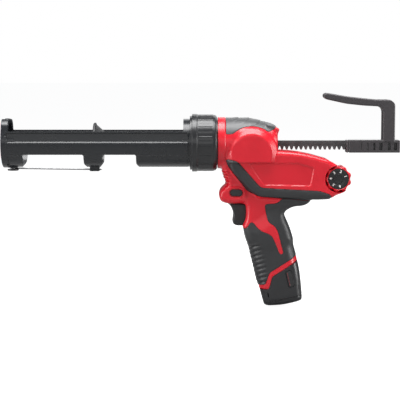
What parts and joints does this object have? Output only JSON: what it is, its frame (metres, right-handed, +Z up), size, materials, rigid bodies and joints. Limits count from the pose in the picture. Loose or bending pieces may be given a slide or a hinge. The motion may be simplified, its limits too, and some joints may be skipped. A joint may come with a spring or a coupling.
{
  "type": "caulking gun",
  "caption": "Battery-driven caulking gun for 310 ml cartridges: half-pipe carriage, twist collar, rack rod with hooked pull handle, speed dial, trigger grip and slide-in battery.",
  "frame": {"origin": "on the barrel's axis, at the shoulder that the cartridge's rear rim rests on", "axes": "+X to the rear along the barrel (the nozzle points to -X), +Z up, away from the grip, -Y the tool's left side, with the speed dial's front face"},
  "size_m": [0.458, 0.0666, 0.246],
  "materials": {
    "red_plastic": "moulded red nylon, satin",
    "grip_rubber": "overmoulded grey-black rubber, matt",
    "head_rubber": "overmoulded grey rubber, matt",
    "black_plastic": "glass-filled black nylon, fine texture",
    "carriage_plastic": "black glass-filled nylon, semi-gloss",
    "handle_plastic": "dark grey glass-filled nylon",
    "button_plastic": "smooth black plastic",
    "dial_black": "black face with white numbers",
    "black_steel": "black-oxide steel",
    "steel": "bare steel",
    "wire_steel": "spring wire, bright",
    "bronze": "sintered bronze, oiled",
    "gear_steel": "hardened gear steel",
    "wheel_bronze": "cast bronze",
    "motor_steel": "zinc-plated steel can",
    "board_green": "circuit board",
    "cell_wrap": "cells in plastic wrap, with the mean density of a cell",
    "copper": "plated copper contacts"
  },
  "bodies": {
    "housing": {"housing_left": "red_plastic", "housing_right": "red_plastic", "head_pad_left": "head_rubber", "head_pad_right": "head_rubber", "trim_left": "grip_rubber", "trim_right": "grip_rubber", "grip_rubber_left": "grip_rubber", "grip_rubber_right": "grip_rubber", "nose_ring": "black_plastic", "front_rod_bushing": "bronze", "rear_rod_bushing": "bronze", "motor_can": "motor_steel", "motor_end_cap": "black_plastic", "gearbox_case": "black_plastic", "worm_bearing": "bronze", "output_bearing_left": "bronze", "output_bearing_right": "bronze", "switch_module": "black_plastic", "control_board": "board_green", "dial_potentiometer": "board_green", "contact_block": "black_plastic", "housing_screws": "black_steel", "trigger_spring": "wire_steel", "carriage_frame": "carriage_plastic", "wire_pivot_screw": "black_steel"},
    "collar": {"collar": "black_plastic"},
    "piercing_rod": {"piercing_rod": "wire_steel"},
    "plunger": {"rack_rod": "black_steel", "piston": "black_plastic", "piston_screw": "steel", "pull_handle": "handle_plastic", "handle_pins": "steel"},
    "output": {"output_shaft": "gear_steel", "rack_pinion": "gear_steel", "worm_wheel": "wheel_bronze"},
    "worm": {"worm": "gear_steel"},
    "dial": {"dial_wheel": "red_plastic", "dial_face_left": "dial_black", "dial_face_right": "dial_black"},
    "trigger": {"trigger": "button_plastic"},
    "lock_button": {"lock_button": "button_plastic"},
    "battery": {"battery_base": "black_plastic", "battery_tower": "black_plastic", "battery_terminals": "copper", "battery_cells": "cell_wrap"},
    "latch_left": {"latch_left": "button_plastic"},
    "latch_right": {"latch_right": "button_plastic"}
  },
  "joints": [
    {"name": "rod_slide", "type": "slide", "parent": "housing", "child": "plunger", "axis": [-1, 0, 0], "range_m": [-0.1225, 0.091]},
    {"name": "output_spin", "type": "hinge", "parent": "housing", "child": "output", "pos_m": [0.067, 0, -0.01645], "axis": [0, -1, 0], "range_deg": [-680, 500]},
    {"name": "worm_spin", "type": "hinge", "parent": "housing", "child": "worm", "pos_m": [0.067, -0.0095, -0.03795], "axis": [-1, 0, 0], "range_deg": [-21700, 15950]},
    {"name": "collar_twist", "type": "hinge", "parent": "housing", "child": "collar", "pos_m": [0.01, 0, 0], "axis": [1, 0, 0], "range_deg": [0, 60]},
    {"name": "piercing_rod_swing", "type": "hinge", "parent": "housing", "child": "piercing_rod", "pos_m": [-0.208, 0, -0.0296], "axis": [0, 0, 1], "range_deg": [0, 180]},
    {"name": "trigger_pull", "type": "slide", "parent": "housing", "child": "trigger", "axis": [1, 0, 0], "range_m": [0, 0.0055], "stiffness_N_per_m": 900, "springref_m": -0.004, "deforming": ["trigger_spring"]},
    {"name": "lock_slide", "type": "slide", "parent": "housing", "child": "lock_button", "axis": [0, 1, 0], "range_m": [-0.0025, 0.0025]},
    {"name": "dial_turn", "type": "hinge", "parent": "housing", "child": "dial", "pos_m": [0.1664, 0, -0.0405], "axis": [0, -1, 0], "range_deg": [-130, 130]},
    {"name": "battery_slide", "type": "slide", "parent": "housing", "child": "battery", "axis": [0.225, 0, -0.9744], "range_m": [0, 0.085]},
    {"name": "latch_left_press", "type": "slide", "parent": "battery", "child": "latch_left", "axis": [0, 1, 0], "range_m": [0, 0.0015], "stiffness_N_per_m": 1500, "springref_m": -0.001},
    {"name": "latch_right_press", "type": "slide", "parent": "battery", "child": "latch_right", "axis": [0, -1, 0], "range_m": [0, 0.0015], "stiffness_N_per_m": 1500, "springref_m": -0.001}
  ],
  "couplings": [
    {"joint": "output_spin", "follows": "rod_slide", "rad_per_m": 95.238},
    {"joint": "worm_spin", "follows": "rod_slide", "rad_per_m": 3047.6}
  ]
}
